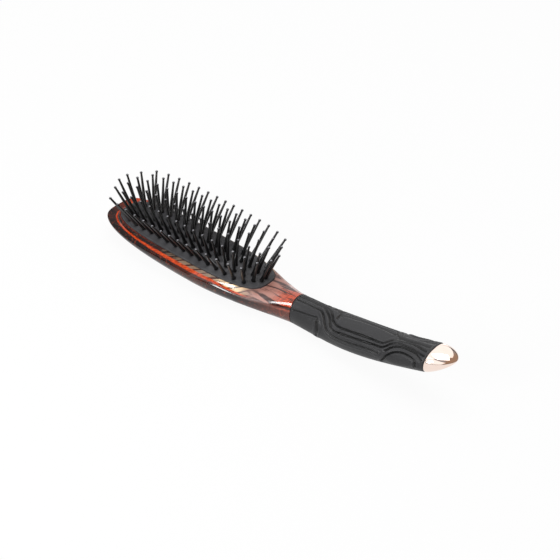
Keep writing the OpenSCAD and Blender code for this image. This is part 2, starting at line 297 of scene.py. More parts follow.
@dataclass(frozen=True)
class MouldedTortoiseshell:
    """Clear brown styrene, injection moulded in a polished mould.

    The melt's swirls give soft dark and red-brown clouds with fine flecks under a wet-looking skin. Over
    them, light trapped in the clear plastic is painted into the colour: an orange glow along the sunk line,
    an amber reflection on the collar crossed by slanting dark streaks that are painted reflections of the
    pins, and a rosy glow with dark veins at the neck, painted darker low on its sides.
    """

    dark: str = "#180f0e"
    warm: str = "#431f17"
    fleck: str = "#8a3a24"
    # painted glow: orange colours that stand in for light coming out of the clear plastic
    glow: str = "#f0561f"
    deep_glow: str = "#86280f"
    # painted reflection on the collar: amber, with cream for its brightest painted highlight
    amber: str = "#8c7560"
    cream: str = "#ffdcae"
    # painted rosy glow at the neck; deep_blush is the dark of the veins across it
    painted_rose_glow: str = "#b27d70"
    deep_blush: str = "#3a1a14"
    cloud_mm: float = 9.0
    cloud_squeeze: float = 0.4
    cloud_bend: float = 0.8
    cloud_span: Span = (0.4, 0.66)
    fleck_mm: float = 1.4
    fleck_span: Span = (0.54, 0.72)
    fleck_to: Span = (0.0, 0.6)
    wisp_mm: float = 2.8
    # the streaks are painted dark reflections of the pins, spaced at the pins' row pitch
    streak_mm: float = 5.56
    streak_bend: float = 3.6
    streak_span: Span = (0.06, 0.3)
    amber_span: Span = (0.62, 0.92)
    cream_span: Span = (1.15, 1.6)
    ember_span: Span = (0.4, 0.64)
    vein_mm: float = 2.6
    vein_squeeze: float = 0.1
    vein_turn: float = 0.12
    vein_bend: float = 0.6
    vein_span: Span = (0.48, 0.55)
    peel_mm: float = 4.0
    peel_strength: float = 0.05
    peel_depth_mm: float = 0.02
    polish: Span = (0.07, 0.12)
    rubbed_roughness: float = 0.42
    refraction: float = 1.55

    def figure(self, tree: Tree, place: Socket) -> Socket:
        """Adds the clouds and flecks of the melt.

        Args:
            tree: the node tree.
            place: the object coordinates.

        Returns:
            The colour.
        """
        long_place = drawn_out(tree, place, self.cloud_squeeze)
        clouds = noise(tree, long_place, self.cloud_mm, detail=4.0, Distortion=self.cloud_bend)
        flecks = noise(tree, place, self.fleck_mm, detail=4.0)
        clouded = blend(tree, ramp(tree, clouds, self.cloud_span), self.dark, self.warm)
        return blend(tree, ramp(tree, flecks, self.fleck_span, self.fleck_to), clouded, self.fleck)

    def collar(self, tree: Tree, flow: Socket, amount: Socket, under: Socket) -> Socket:
        """Adds the painted amber reflection and cream highlight of the collar, crossed by slanting dark
        streaks that are painted reflections of the pins.

        Args:
            tree: the node tree.
            flow: the coordinates in which the streaks run straight.
            amount: how much amber shows.
            under: the colour under it.

        Returns:
            The colour.
        """
        # painted reflections of the pins: slanting dark streaks, one wave for each row of pins
        streaks = add_node(tree, "ShaderNodeTexWave", {
            "Vector": flow, "Scale": WAVE_LENGTH * per_metre(self.streak_mm),
            "Distortion": self.streak_bend, "Detail": 2.0, "Detail Scale": 1.5}).outputs["Fac"]
        patchy = reckon(tree, "ADD", amount, noise(tree, flow, self.wisp_mm, detail=3.0))
        between = ramp(tree, streaks, self.streak_span)
        share = reckon(tree, "MULTIPLY", ramp(tree, patchy, self.amber_span), between)
        amber = blend(tree, ramp(tree, patchy, self.cream_span), self.amber, self.cream)
        return blend(tree, share, under, amber)

    def trapped_light(self, tree: Tree, place: Socket, under: Socket) -> Socket:
        """Adds the painted amber reflection, rosy glow and orange glow, whose amounts the moulding's own
        attributes give.

        Args:
            tree: the node tree.
            place: the object coordinates.
            under: the colour under them.

        Returns:
            The colour.
        """
        tint = attribute(tree, PAINTED_LIGHT).outputs["Vector"]
        orange, amber, rose = add_node(tree, "ShaderNodeSeparateXYZ", {"Vector": tint}).outputs
        flow = attribute(tree, FLOW).outputs["Vector"]
        neck = blend(tree, rose, self.collar(tree, flow, amber, under), self.painted_rose_glow)
        # painted orange glow, flecked between a bright and a deep orange
        embers = ramp(tree, noise(tree, flow, self.fleck_mm, detail=4.0, Roughness=0.7), self.ember_span)
        lit = blend(tree, orange, neck, blend(tree, embers, self.glow, self.deep_glow))
        long_place = drawn_out(tree, place, self.vein_squeeze, -self.vein_turn)
        threads = noise(tree, long_place, self.vein_mm, detail=4.0, Distortion=self.vein_bend)
        veins = ramp(tree, threads, self.vein_span)
        return blend(tree, reckon(tree, "MULTIPLY", rose, veins), lit, self.deep_blush)

    def material(self) -> bpy.types.Material:
        """Makes the finish.

        Returns:
            The node material.
        """
        material, tree, place = new_material("moulded_tortoiseshell_styrene")
        colour = self.trapped_light(tree, place, self.figure(tree, place))
        peel = noise(tree, place, self.peel_mm, detail=1.0)
        rough = add_node(tree, "ShaderNodeMix", {
            "Factor": attribute(tree, RUBBED).outputs["Fac"], "A": ramp(tree, peel, WHOLE, self.polish),
            "B": self.rubbed_roughness})
        finish_skin(tree, {
            "Base Color": colour, "Roughness": rough.outputs["Result"], "IOR": self.refraction,
            "Normal": bump(tree, peel, self.peel_strength, self.peel_depth_mm)})
        return material


@dataclass(frozen=True)
class MouldedGripRubber:
    """Charcoal thermoplastic rubber, moulded over the tang in a finely blasted mould.

    The fine grain spreads every highlight into a soft grey, and painted shade makes the grooves darker.
    """

    land: str = "#1f1f22"
    patch: str = "#18181a"
    # painted shade: the near-black colour that darkens the grooves
    sunk: str = "#030303"
    patch_mm: float = 6.0
    grain_mm: float = 0.45
    grain_strength: float = 0.35
    grain_depth_mm: float = 0.03
    polish: Span = (0.42, 0.52)
    refraction: float = 1.5
    shine: float = 0.4

    def material(self) -> bpy.types.Material:
        """Makes the finish.

        Returns:
            The node material.
        """
        material, tree, place = new_material("moulded_thermoplastic_rubber")
        patches = noise(tree, place, self.patch_mm, detail=3.0)
        toned = blend(tree, patches, self.land, self.patch)
        grain = noise(tree, place, self.grain_mm, detail=2.0)
        # the groove depth blends in the painted groove shade
        finish_skin(tree, {
            "Base Color": blend(tree, attribute(tree, GROOVE_SHADE).outputs["Fac"], toned, self.sunk),
            "Roughness": ramp(tree, patches, WHOLE, self.polish), "IOR": self.refraction,
            "Specular IOR Level": self.shine,
            "Normal": bump(tree, grain, self.grain_strength, self.grain_depth_mm)})
        return material


@dataclass(frozen=True)
class PlatedRoseGold:
    """ABS, electroplated in copper under a thin pale gold, with a mirror polish.

    It shows the studio as a mirror does, warmed to a pale rose.
    """

    metal: str = "#f8e8de"
    deep: str = "#f1dacd"
    patch_mm: float = 5.0
    polish: Span = (0.03, 0.07)

    def material(self) -> bpy.types.Material:
        """Makes the finish.

        Returns:
            The node material.
        """
        material, tree, place = new_material("electroplated_rose_gold")
        patches = noise(tree, place, self.patch_mm, detail=2.0)
        finish_skin(tree, {
            "Base Color": blend(tree, patches, self.metal, self.deep), "Metallic": 1.0,
            "Roughness": ramp(tree, patches, WHOLE, self.polish)})
        return material


@dataclass(frozen=True)
class CushionRubber:
    """Black natural rubber sheet, moulded to a dome and dusted with talc.

    The talc lifts its black to a soft even charcoal with hardly any shine.
    """

    dusted: str = "#48484b"
    bare: str = "#37373a"
    patch_mm: float = 4.0
    grain_mm: float = 0.5
    grain_strength: float = 0.3
    grain_depth_mm: float = 0.03
    polish: Span = (0.62, 0.78)
    refraction: float = 1.52

    def material(self) -> bpy.types.Material:
        """Makes the finish.

        Returns:
            The node material.
        """
        material, tree, place = new_material("moulded_natural_rubber")
        patches = noise(tree, place, self.patch_mm, detail=4.0)
        grain = noise(tree, place, self.grain_mm, detail=2.0)
        finish_skin(tree, {
            "Base Color": blend(tree, patches, self.dusted, self.bare),
            "Roughness": ramp(tree, patches, WHOLE, self.polish), "IOR": self.refraction,
            "Normal": bump(tree, grain, self.grain_strength, self.grain_depth_mm)})
        return material


@dataclass(frozen=True)
class MouldedNylon:
    """Black nylon 6, injection moulded in smooth cavities.

    It is nearly black with a narrow grey sheen along each pin, and a small bright glint is painted on the top
    of each ball, where the surface faces up.
    """

    deep: str = "#040405"
    pale: str = "#0c0c0d"
    # painted glint: a grey painted where the surface faces up
    painted_glint: str = "#94949a"
    painted_glint_span: Span = (0.64, 0.78)
    streak_mm: float = 2.5
    polish: Span = (0.26, 0.36)
    refraction: float = 1.53

    def material(self) -> bpy.types.Material:
        """Makes the finish.

        Returns:
            The node material.
        """
        material, tree, place = new_material("moulded_nylon")
        facing = add_node(tree, "ShaderNodeNewGeometry").outputs["Normal"]
        upright = add_node(tree, "ShaderNodeSeparateXYZ", {"Vector": facing}).outputs["Z"]
        streaks = noise(tree, place, self.streak_mm, detail=3.0)
        toned = blend(tree, streaks, self.deep, self.pale)
        # painted glint on the upward-facing tops of the balls
        finish_skin(tree, {
            "Base Color": blend(tree, ramp(tree, upright, self.painted_glint_span), toned, self.painted_glint),
            "Roughness": ramp(tree, streaks, WHOLE, self.polish), "IOR": self.refraction})
        return material


@dataclass(frozen=True)
class BrushForm:
    """Driving sizes of the brush in millimetres, and the curves that its pieces share.

    The names and values are those of the CAD source, so each new piece lies on the solid that it stands for.
    """

    pad_length: float = 97.0
    pad_width: float = 28.0
    pad_rise: float = 3.0
    pad_thick: float = 1.3
    nose_over: float = 7.2
    head_width: float = 37.0
    head_depth: float = 13.4
    neck_reach: float = 68.0
    neck_width: float = 13.2
    neck_height: float = 16.2
    grip_length: float = 81.3
    grip_width: float = 17.6
    grip_height: float = 16.4
    cap_width: float = 18.0
    cap_height: float = 12.8
    cap_length: float = 12.2
    cap_fit: float = 0.05
    grip_wall: float = 2.4
    pad_power: float = 3.18
    pad_edge_rise: float = 0.2
    pad_edge_depth: float = 1.4
    pad_gap: float = 0.3
    crease_power: float = 2.9
    crease_out: float = 2.6
    crease_drop: float = 2.4
    heel_share: float = 0.6
    heel_power: float = 2.4
    heel_fade_share: float = 0.45
    lip_out: float = 0.8
    lip_drop: float = 0.5
    ledge_depth: float = 1.7
    ledge_width: float = 1.3
    chamber_depth: float = 5.6
    head_power: float = 3.7
    head_fade_power: float = 1.04
    widest_x: float = 10.0
    rim_drop: float = 5.2
    nose_lift: float = 3.1
    lift_power: float = 3.0
    neck_drop: float = 5.6
    back_nose_share: float = 0.7
    back_neck_share: float = 1.03
    section_power: float = 2.2
    shoulder_power: float = 1.5
    start_slope: float = 0.014
    end_slope: float = 0.358
    cap_slope: float = 0.38
    swell_share: float = 0.45

    @property
    def pad_half_length(self) -> float:
        """Half the pad's length."""
        return self.pad_length / 2

    @property
    def pad_half_width(self) -> float:
        """Half the pad's width."""
        return self.pad_width / 2

    @property
    def crease_start(self) -> float:
        """Distance of the sunk line from the pad's middle at the nose."""
        return self.pad_half_length + self.crease_out

    @property
    def lip_end(self) -> float:
        """Distance of the tray's lip from the pad's middle at the heel."""
        return self.pad_half_length + self.lip_out

    @property
    def heel_end(self) -> float:
        """X at which the sunk line ends on the neck."""
        return mix(self.lip_end, self.neck_reach, self.heel_share)

    @property
    def nose_x(self) -> float:
        """X of the nose's tip."""
        return -(self.pad_half_length + self.nose_over)

    @property
    def grip_end(self) -> float:
        """X of the grip's far end."""
        return self.neck_reach + self.grip_length

    @property
    def cap_end(self) -> float:
        """X of the cap's tip."""
        return self.grip_end + self.cap_length

    @property
    def frame_shift(self) -> float:
        """X of the whole brush's middle, seen from the pad's middle."""
        return (self.nose_x + self.cap_end) / 2

    def place(self, x: float, y: float, z: float) -> Vector:
        """Turns a point from the head's millimetres to the model's metres."""
        return Vector((x - self.frame_shift, y, z + self.head_depth)) * METRES_PER_MM

    def outline(self, turn: float, out: float, power: float) -> tuple[float, float]:
        """Gives a point of an outline round the pad.

        Args:
            turn: radians, 0 at the nose.
            out: how far the outline lies beyond the pad's own.
            power: the superellipse's power.

        Returns:
            X and Y.
        """
        along, across = oval(turn, power)
        return -(self.pad_half_length + out) * along, (self.pad_half_width + out) * across

    def crease_xy(self, turn: float) -> tuple[float, float]:
        """Gives a point of the sunk line, which is drawn out over the neck at the heel.

        Args:
            turn: radians, 0 at the nose.

        Returns:
            X and Y.
        """
        if math.cos(turn) > 0:
            return self.outline(turn, self.crease_out, self.crease_power)
        along, across = oval(turn, self.heel_power)
        return -self.heel_end * along, (self.pad_half_width + self.crease_out) * across

    def pad_top(self, x: float, y: float) -> float:
        """Height of the pad's top.

        Args:
            x: X on the pad.
            y: Y on the pad.

        Returns:
            Z.
        """
        power = self.pad_power
        reach = (abs(x) / self.pad_half_length) ** power + (abs(y) / self.pad_half_width) ** power
        share = min(reach ** (1 / power), 1)
        return self.pad_edge_rise + self.pad_rise * (1 - share**2)

    def handle_mid(self, x: float) -> float:
        """Height of the handle's middle line.

        Args:
            x: where along the brush.

        Returns:
            Z.
        """
        run = min(x, self.grip_end) - self.neck_reach
        past = max(x - self.grip_end, 0)
        bend = (self.end_slope - self.start_slope) * run * run / self.grip_length / 2
        return -self.neck_drop + self.start_slope * run + bend + self.cap_slope * past

    def taper_share(self, x: float) -> float:
        """How far along the neck's taper X lies."""
        return (x - self.widest_x) / (self.neck_reach - self.widest_x)

    def nose_share(self, x: float) -> float:
        """How far along the nose's rounding X lies: 0 at the widest place and 1 at the tip."""
        return (self.widest_x - x) / (self.widest_x - self.nose_x)

    def mid_z(self, x: float) -> float:
        """Height of a section's widest place.

        Args:
            x: where along the brush.

        Returns:
            Z.
        """
        if x >= self.neck_reach:
            return self.handle_mid(x)
        rim = mix(-self.rim_drop, -self.neck_drop, ease(self.taper_share(x)))
        return rim + self.nose_lift * max(self.nose_share(x), 0) ** self.lift_power

    def half_width(self, x: float) -> float:
        """Half width of the head's and neck's sections.

        Args:
            x: where along the brush.

        Returns:
            The half width.
        """
        if x <= self.widest_x:
            return self.head_width / 2 * fall(self.nose_share(x), self.head_power)
        share = max(math.cos(math.pi / 2 * self.taper_share(x)), 0) ** self.head_fade_power
        return mix(self.neck_width / 2, self.head_width / 2, share)

    def half_depth(self, x: float) -> float:
        """Depth of the head's and neck's sections under their widest place.

        Args:
            x: where along the brush.

        Returns:
            The depth.
        """
        deep = self.head_depth - self.rim_drop
        if x <= self.widest_x:
            share = self.nose_share(x)
            end = mix(self.back_neck_share, self.back_nose_share, ease(share))
            return deep * end * fall(share, self.head_power)
        return mix(deep * self.back_neck_share, self.neck_height / 2, ease(self.taper_share(x)))

    def ridge_z(self, x: float) -> float:
        """Height of the top of the nose and of the neck, in the mirror plane.

        Args:
            x: where along the brush.

        Returns:
            Z.
        """
        if x < 0:
            share = (-self.crease_start - x) / (self.nose_over - self.crease_out)
            return mix(self.nose_lift - self.rim_drop, -self.crease_drop, fall(share, 2))
        share = (x - self.lip_end) / (self.neck_reach - self.lip_end)
        return mix(-self.lip_drop, self.neck_height / 2 - self.neck_drop, share)

    def crown_z(self, x: float, y: float) -> float:
        """Height of the neck's round top away from the mirror plane."""
        return mix(self.mid_z(x), self.ridge_z(x), fall(y / self.half_width(x), self.section_power))

    def to_crown(self, z: float, x: float, y: float) -> float:
        """Gives a height on the head's rim way to the neck's round top, towards the heel.

        Args:
            z: the height on the rim.
            x: X of the point.
            y: Y of the point.

        Returns:
            Z.
        """
        share = (x / self.pad_half_length - self.heel_fade_share) / (1 - self.heel_fade_share)
        if share <= 0:
            return z
        return mix(z, self.crown_z(x, y), ease(share))

    def skin_point(self, x: float, top_y: float, top_z: float, turn: float) -> Point:
        """Gives a point of the head's skin.

        Args:
            x: where the section lies.
            top_y: half width of the section's open top.
            top_z: height of the open top's edge.
            turn: radians from the top edge, 0 to pi on one side and on to 2 pi back up the other.

        Returns:
            X, Y and Z.
        """
        side = 1 if turn <= math.pi else -1
        down = min(turn, 2 * math.pi - turn)
        power = self.section_power
        if down < math.pi / 2:
            power = mix(self.shoulder_power, power, ease(x / self.pad_half_length))
        high = signed_power(math.cos(down), 2 / power)
        wide = max(math.sin(down), 0) ** (2 / power)
        width = self.half_width(x)
        middle = self.mid_z(x)
        if down <= math.pi / 2:
            y = top_y + (width - top_y) * wide
            return x, side * y, self.to_crown(middle + (top_z - middle) * high, x, y)
        return x, side * width * wide, max(middle + self.half_depth(x) * high, -self.head_depth)

    def swell(self, first: float, middle: float, last: float, share: float) -> float:
        """Gives a size that swells from one end to its middle value and goes on to the other end's.

        Args:
            first: the size at the start.
            middle: the size at the swelling.
            last: the size at the end.
            share: share of the length.

        Returns:
            The size.
        """
        if share < self.swell_share:
            return mix(first, middle, ease(share / self.swell_share))
        return mix(middle, last, ease((share - self.swell_share) / (1 - self.swell_share)))

    def handle_point(self, share: float, turn: float, depth: float) -> Point:
        """Gives a point of the handle, drawn in by a depth.

        Args:
            share: share of the grip's length.
            turn: radians round the section, 0 on top and pi / 2 on the +Y side.
            depth: how far the point lies under the grip's skin.

        Returns:
            X, Y and Z.
        """
        x = mix(self.neck_reach, self.grip_end, share)
        half_wide = self.swell(self.neck_width, self.grip_width, self.cap_width, share) / 2 - depth
        half_high = self.swell(self.neck_height, self.grip_height, self.cap_height, share) / 2 - depth
        up, side = oval(turn, self.section_power)
        z = self.handle_mid(x) + half_high * up
        return x, half_wide * side, max(z, max(depth, 0) - self.head_depth)


@dataclass(frozen=True)
class PinField:
    """Where the pins stand on the pad, as the CAD source places them."""

    form: BrushForm
    pitch_share: float = 0.0573
    row_shift_share: float = 0.164
    line_pitch: float = 4.1
    middle_row: int = 9
    line_shares: tuple[float, ...] = (-2.5, -1.5, -0.5, 0.5, 1.5, 2.5)
    stagger_shares: tuple[float, ...] = (0, 0.5, 0, 0, 0.5, 0)
    reach_shares: tuple[float, ...] = (0.835, 0.891, 0.948, 0.948, 0.891, 0.835)
    outer_line_share: float = 2.5
    edge_share: float = 0.8
    edge_end_share: float = 0.97
    inner_keep_share: float = 0.75

    def roots(self) -> list[tuple[float, float]]:
        """Returns the X and Y of every pin's root.

        Returns:
            The roots, row by row.
        """
        form = self.form
        pitch = form.pad_length * self.pitch_share
        found = []
        for row in range(1, 2 * self.middle_row):
            for line, share in enumerate(self.line_shares):
                steps = row - self.middle_row + self.stagger_shares[line] + self.row_shift_share
                x = steps * pitch
                if abs(x) > self.reach_shares[line] * form.pad_half_length:
                    continue
                found.append((x, share * self.line_pitch * self.draw_in(x, share)))
        return found

    def draw_in(self, x: float, share: float) -> float:
        """Tells how much a line draws in at X, to keep clear of the pad's edge.

        Args:
            x: X of the root.
            share: the line's distance from the middle, in line pitches.

        Returns:
            The share of its distance.
        """
        form = self.form
        end = form.pad_half_length * self.edge_end_share
        room = form.pad_half_width * self.edge_share * fall(x / end, form.pad_power)
        drawn = min(room / (self.outer_line_share * self.line_pitch), 1)
        return max(drawn, self.inner_keep_share) if abs(share) < 1 else drawn


def loft(along: int, around: int, point: Callable[[int, int], Vector]) -> bmesh.types.BMesh:
    """Bends a flat grid to a skin and closes its seam and poles.

    Args:
        along: number of faces in the grid's first direction.
        around: number of faces in its second direction.
        point: gives the place of the grid's vertex at two whole-number steps.

    Returns:
        The new mesh.
    """
    mesh = bmesh.new()
    bmesh.ops.create_grid(mesh, x_segments=along, y_segments=around, size=0.5)
    for vertex in mesh.verts:
        step = round((vertex.co.x + 0.5) * along)
        turn = round((vertex.co.y + 0.5) * around)
        vertex.co = point(step, turn)
    bmesh.ops.remove_doubles(mesh, verts=mesh.verts, dist=MERGE_DISTANCE)
    return mesh


def close_skin(mesh: bmesh.types.BMesh) -> None:
    """Turns the faces of a closed skin outwards, smooths them and keeps its corners crisp.

    Args:
        mesh: the closed mesh.
    """
    bmesh.ops.recalc_face_normals(mesh, faces=mesh.faces)
    for face in mesh.faces:
        face.smooth = True
    for edge in mesh.edges:
        edge.smooth = not edge.is_manifold or edge.calc_face_angle() < SHARP_ANGLE


def new_piece(name: str, mesh: bmesh.types.BMesh, material: bpy.types.Material) -> bpy.types.Object:
    """Makes an object from a finished mesh.

    Args:
        name: the piece's name.
        mesh: the mesh, which is freed.
        material: the finish.

    Returns:
        The object, at the origin.
    """
    data = bpy.data.meshes.new(name)
    mesh.to_mesh(data)
    mesh.free()
    data.materials.append(material)
    piece = bpy.data.objects.new(name, data)
    bpy.context.scene.collection.objects.link(piece)
    LOG.info("%s: %d vertices, %d faces", name, len(data.vertices), len(data.polygons))
    return piece


@dataclass(frozen=True)
class TrappedLight:
    """Where painted glow, reflection and shade lie on the moulding, standing for light coming out of the
    clear plastic, over X and over the distance out from the sunk line.

    A span holds two places in millimetres, or the place and the width of a bump; a share is an amount.
    """

    widening: Span = (-50.0, 10.0)
    narrowing: Span = (12.0, 46.0)
    line_end: Span = (40.0, 50.0)
    inner_reach: Span = (0.65, 1.05)
    outer_reach: Span = (0.5, 1.1)
    outer_thin: float = 0.3
    line_soft: float = 0.4
    nose_swell: float = 0.3
    nose_inner: Span = (-56.0, 8.0)
    nose_outer: Span = (-54.0, 14.0)
    lip_share: float = 0.5
    lip_line: Span = (-2.75, 0.35)
    lip_fade: Span = (-42.0, -2.0)
    far_share: float = 1.5
    far_place: Span = (-48.5, 8.5)
    far_width: float = 6.0
    far_line: Span = (-0.5, 0.5)
    far_amber: float = 1.6
    far_window: Span = (4.0, 3.0)
    amber_lip: Span = (0.0, 0.5)
    amber_line: Span = (-5.5, -4.0)
    amber_share: float = 0.5
    amber_start: Span = (-24.0, 16.0)
    amber_peak_share: float = 0.65
    amber_peak: Span = (36.0, 9.0)
    amber_end: Span = (44.0, 54.0)
    rose_start: Span = (38.0, 52.0)
    ember_share: float = 0.9
    ember_start: Span = (54.0, 66.0)
    ember_least: float = 0.05
    shade_least: float = 0.06
    shade_heights: Span = (-5.0, -2.6)
    rub_start: Span = (36.0, 40.0)
    rub_end: Span = (56.0, 59.0)

    def orange(self, x: float, out: float) -> float:
        """Tells how much painted orange glow lies along the sunk line and, towards the nose, along the lip.

        Args:
            x: where along the head.
            out: distance out from the sunk line.

        Returns:
            The amount.
        """
        wide = rise(x, self.widening)
        inner = mix(*self.inner_reach, wide) + self.nose_swell * hump(x, self.nose_inner)
        outer = mix(*self.outer_reach, wide) * mix(1, self.outer_thin, rise(x, self.narrowing))
        outer += self.nose_swell * hump(x, self.nose_outer)
        line = ease((out + inner) / self.line_soft) * ease((outer - out) / self.line_soft)
        lip = self.lip_share * hump(out, self.lip_line) * (1 - rise(x, self.lip_fade))
        return clamp(line * (1 - rise(x, self.line_end)) + lip)

    def amber(self, x: float, out: float) -> float:
        """Tells how much painted amber reflection shows on the collar.

        Args:
            x: where along the head.
            out: distance out from the sunk line.

        Returns:
            The amount.
        """
        inside = rise(-out, self.amber_lip) * rise(out, self.amber_line)
        spread = self.amber_share * rise(x, self.amber_start)
        spread += self.amber_peak_share * hump(x, self.amber_peak)
        return inside * spread * (1 - rise(x, self.amber_end))

    def amounts(self, place: Vector, out: float) -> Point:
        """Gives the amounts of painted light, with a painted glow on the far side of the nose where the lamps
        behind shine through, and painted shade low on the sides.

        Args:
            place: a point of the moulding.
            out: its distance out from the sunk line.

        Returns:
            The amounts of painted orange glow, amber reflection and rosy glow.
        """
        x, y, z = place
        # painted shade: the glow fades on the lower sides of the rim and neck
        lit = mix(self.shade_least, 1, rise(z, self.shade_heights))
        # painted glow on the far side of the nose
        away = math.hypot(x - self.far_place[0], y - self.far_place[1])
        far = clamp(self.far_share * bell(away, self.far_width))
        # painted orange glow near the grip, fainter in the painted shade
        ember = self.ember_share * rise(x, self.ember_start) * mix(self.ember_least, 1, lit)
        orange = clamp(self.orange(x, out) + ember + far * rise(out, self.far_line))
        # painted amber highlight on the far collar at the nose
        window = self.far_amber * far * hump(y, self.far_window) * rise(-out, WHOLE)
        return orange, self.amber(x, out) + window, rise(x, self.rose_start) * lit

    def rubbed(self, x: float) -> float:
        """Tells how much the polish is worn, between the rim's light and the neck's."""
        return rise(x, self.rub_start) * (1 - rise(x, self.rub_end))


@dataclass
class Moulding:
    """The one-piece moulding: head, tray for the cushion, sunk line, rim, neck and tang."""

    form: BrushForm
    finish: MouldedTortoiseshell
    light: TrappedLight = field(default_factory=TrappedLight)
    head_steps: int = 240
    quarter_steps: int = 24
    nose_steps: int = 14
    neck_steps: int = 28
    tang_steps: int = 8
    tang_share: float = 0.85
    collar_steps: int = 9
    collar_bulge: float = 0.3
    lip_round: float = 0.15
    streak_slant: float = 1.95
    line_points: int = 1920
    inside_x: float = 20.0
    inside_drop: float = 1.0

    def stations(self) -> list[Point]:
        """Returns X, half width of the open top and height of its edge, from the nose to the neck's end.

        Returns:
            One row for each section.
        """
        form = self.form
        found = []
        for step in range(self.nose_steps):
            x = mix(form.nose_x, -form.crease_start, (step / self.nose_steps) ** 2)
            found.append((x, 0.0, form.ridge_z(x)))
        for step in range(self.head_steps + 1):
            x, y = form.crease_xy(math.pi * step / self.head_steps)
            found.append((x, abs(y), -form.crease_drop))
        for step in range(1, self.neck_steps + 1):
            x = mix(form.heel_end, form.neck_reach, step / self.neck_steps)
            found.append((x, 0.0, form.ridge_z(x)))
        return found

    def skin(self) -> bmesh.types.BMesh:
        """Returns the outer skin, open over the tray, with the tang at its end.

        Returns:
            The mesh.
        """
        form = self.form
        stations = self.stations()
        around = 4 * self.quarter_steps

        def point(step: int, turn: int) -> Vector:
            """Gives the place of a vertex of the skin.

            Args:
                step: number of the section, from the nose on to the tang's end.
                turn: number of the step round it, from one edge of the open top to the other.

            Returns:
                The place in metres.
            """
            angle = 2 * math.pi * turn / around
            if step < len(stations):
                return form.place(*form.skin_point(*stations[step], angle))
            share = self.tang_share * (step - len(stations)) / (self.tang_steps - 1)
            return form.place(*form.handle_point(share, angle, form.grip_wall))

        return loft(len(stations) + self.tang_steps - 1, around, point)

    def crease_point(self, angle: float) -> Point:
        """Gives a point of the sunk line, at radians from the nose.

        Args:
            angle: radians, 0 at the nose.

        Returns:
            X, Y and Z.
        """
        form = self.form
        x, y = form.crease_xy(angle)
        return x, y, form.to_crown(-form.crease_drop, x, abs(y))

    def tray_rings(self) -> list[tuple[float, float]]:
        """Returns how far out and how high each ring of the tray lies, from the lip's top inwards.

        Returns:
            The rings.
        """
        form = self.form
        inner = form.pad_gap - form.ledge_width
        return [
            (form.lip_out - self.lip_round, -form.lip_drop + self.lip_round / 2),
            (form.pad_gap + self.lip_round, -form.lip_drop + self.lip_round / 2),
            (form.pad_gap, -form.lip_drop - self.lip_round),
            (form.pad_gap, -form.ledge_depth),
            (inner, -form.ledge_depth),
            (inner, -form.chamber_depth)]

    def tray(self) -> bmesh.types.BMesh:
        """Returns the collar from the sunk line up to the lip, with the closed tray inside it.

        Returns:
            The mesh.
        """
        form = self.form
        rings = self.tray_rings()
        around = 2 * self.head_steps

        def point(step: int, turn: int) -> Vector:
            """Gives the place of a vertex of the collar or of the tray.

            Args:
                step: number of the ring, up the collar and then into the tray.
                turn: number of the step round, from the nose.

            Returns:
                The place in metres.
            """
            angle = 2 * math.pi * turn / around
            if step <= self.collar_steps:
                share = step / self.collar_steps
                low_x, low_y, low_z = self.crease_point(angle)
                top_x, top_y = form.outline(angle, form.lip_out, form.pad_power)
                swelling = self.collar_bulge * math.sin(math.pi * share)
                z = mix(low_z, -form.lip_drop, share) + swelling
                return form.place(mix(low_x, top_x, share), mix(low_y, top_y, share), z)
            if step <= self.collar_steps + len(rings):
                out, z = rings[step - self.collar_steps - 1]
                return form.place(*form.outline(angle, out, form.pad_power), z)
            return form.place(0, 0, -form.chamber_depth)

        return loft(self.collar_steps + len(rings) + 1, around, point)

    def tints(self, mesh: bmesh.types.BMesh) -> None:
        """Stores the amounts of painted orange glow, amber reflection and rosy glow at each point, and the
        way in which the painted pin reflections run.

        Args:
            mesh: the finished mesh.
        """
        form = self.form
        line = KDTree(self.line_points)
        for step in range(self.line_points):
            line.insert(self.crease_point(2 * math.pi * step / self.line_points), step)
        line.balance()
        tint = mesh.verts.layers.float_vector.new(PAINTED_LIGHT)
        flow = mesh.verts.layers.float_vector.new(FLOW)
        rubbed = mesh.verts.layers.float.new(RUBBED)
        for vertex in mesh.verts:
            place = vertex.co / METRES_PER_MM + Vector((form.frame_shift, 0, -form.head_depth))
            crease, _, away = line.find(place)
            middle = self.inside_x
            nearer = math.hypot(place.x - middle, place.y) < math.hypot(crease.x - middle, crease.y)
            out = -away if nearer and place.z > crease.z - self.inside_drop else away
            vertex[tint] = self.light.amounts(place, out)
            vertex[rubbed] = self.light.rubbed(place.x)
            vertex[flow] = Vector((place.x + self.streak_slant * out, out, 0)) * METRES_PER_MM

    def build(self) -> bpy.types.Object:
        """Returns the finished moulding.

        Returns:
            The piece.
        """
        mesh = self.skin()
        tray = bpy.data.meshes.new("tray")
        inside = self.tray()
        inside.to_mesh(tray)
        inside.free()
        mesh.from_mesh(tray)
        bpy.data.meshes.remove(tray)
        bmesh.ops.remove_doubles(mesh, verts=mesh.verts, dist=MERGE_DISTANCE)
        bmesh.ops.holes_fill(mesh, edges=[edge for edge in mesh.edges if edge.is_boundary])
        close_skin(mesh)
        self.tints(mesh)
        piece = new_piece("moulding", mesh, self.finish.material())
        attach(piece, Body.HANDLE.value)
        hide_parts("body_shell")
        return piece


@dataclass(frozen=True)
class Line:
    """One moulded line of the grip: points of length share and degrees from the top towards -Y.

    Its depth and width are in millimetres, and a depth below 0 is a raised line.
    """

    points: tuple[Span, ...]
    depth: float = 0.55
    width: float = 0.42


@dataclass(frozen=True)
class Knoll:
    """A soft raised place of the grip: middle and reaches in length share and degrees, height in mm."""

    share: float
    degrees: float
    reach_share: float
    reach_degrees: float
    height: float


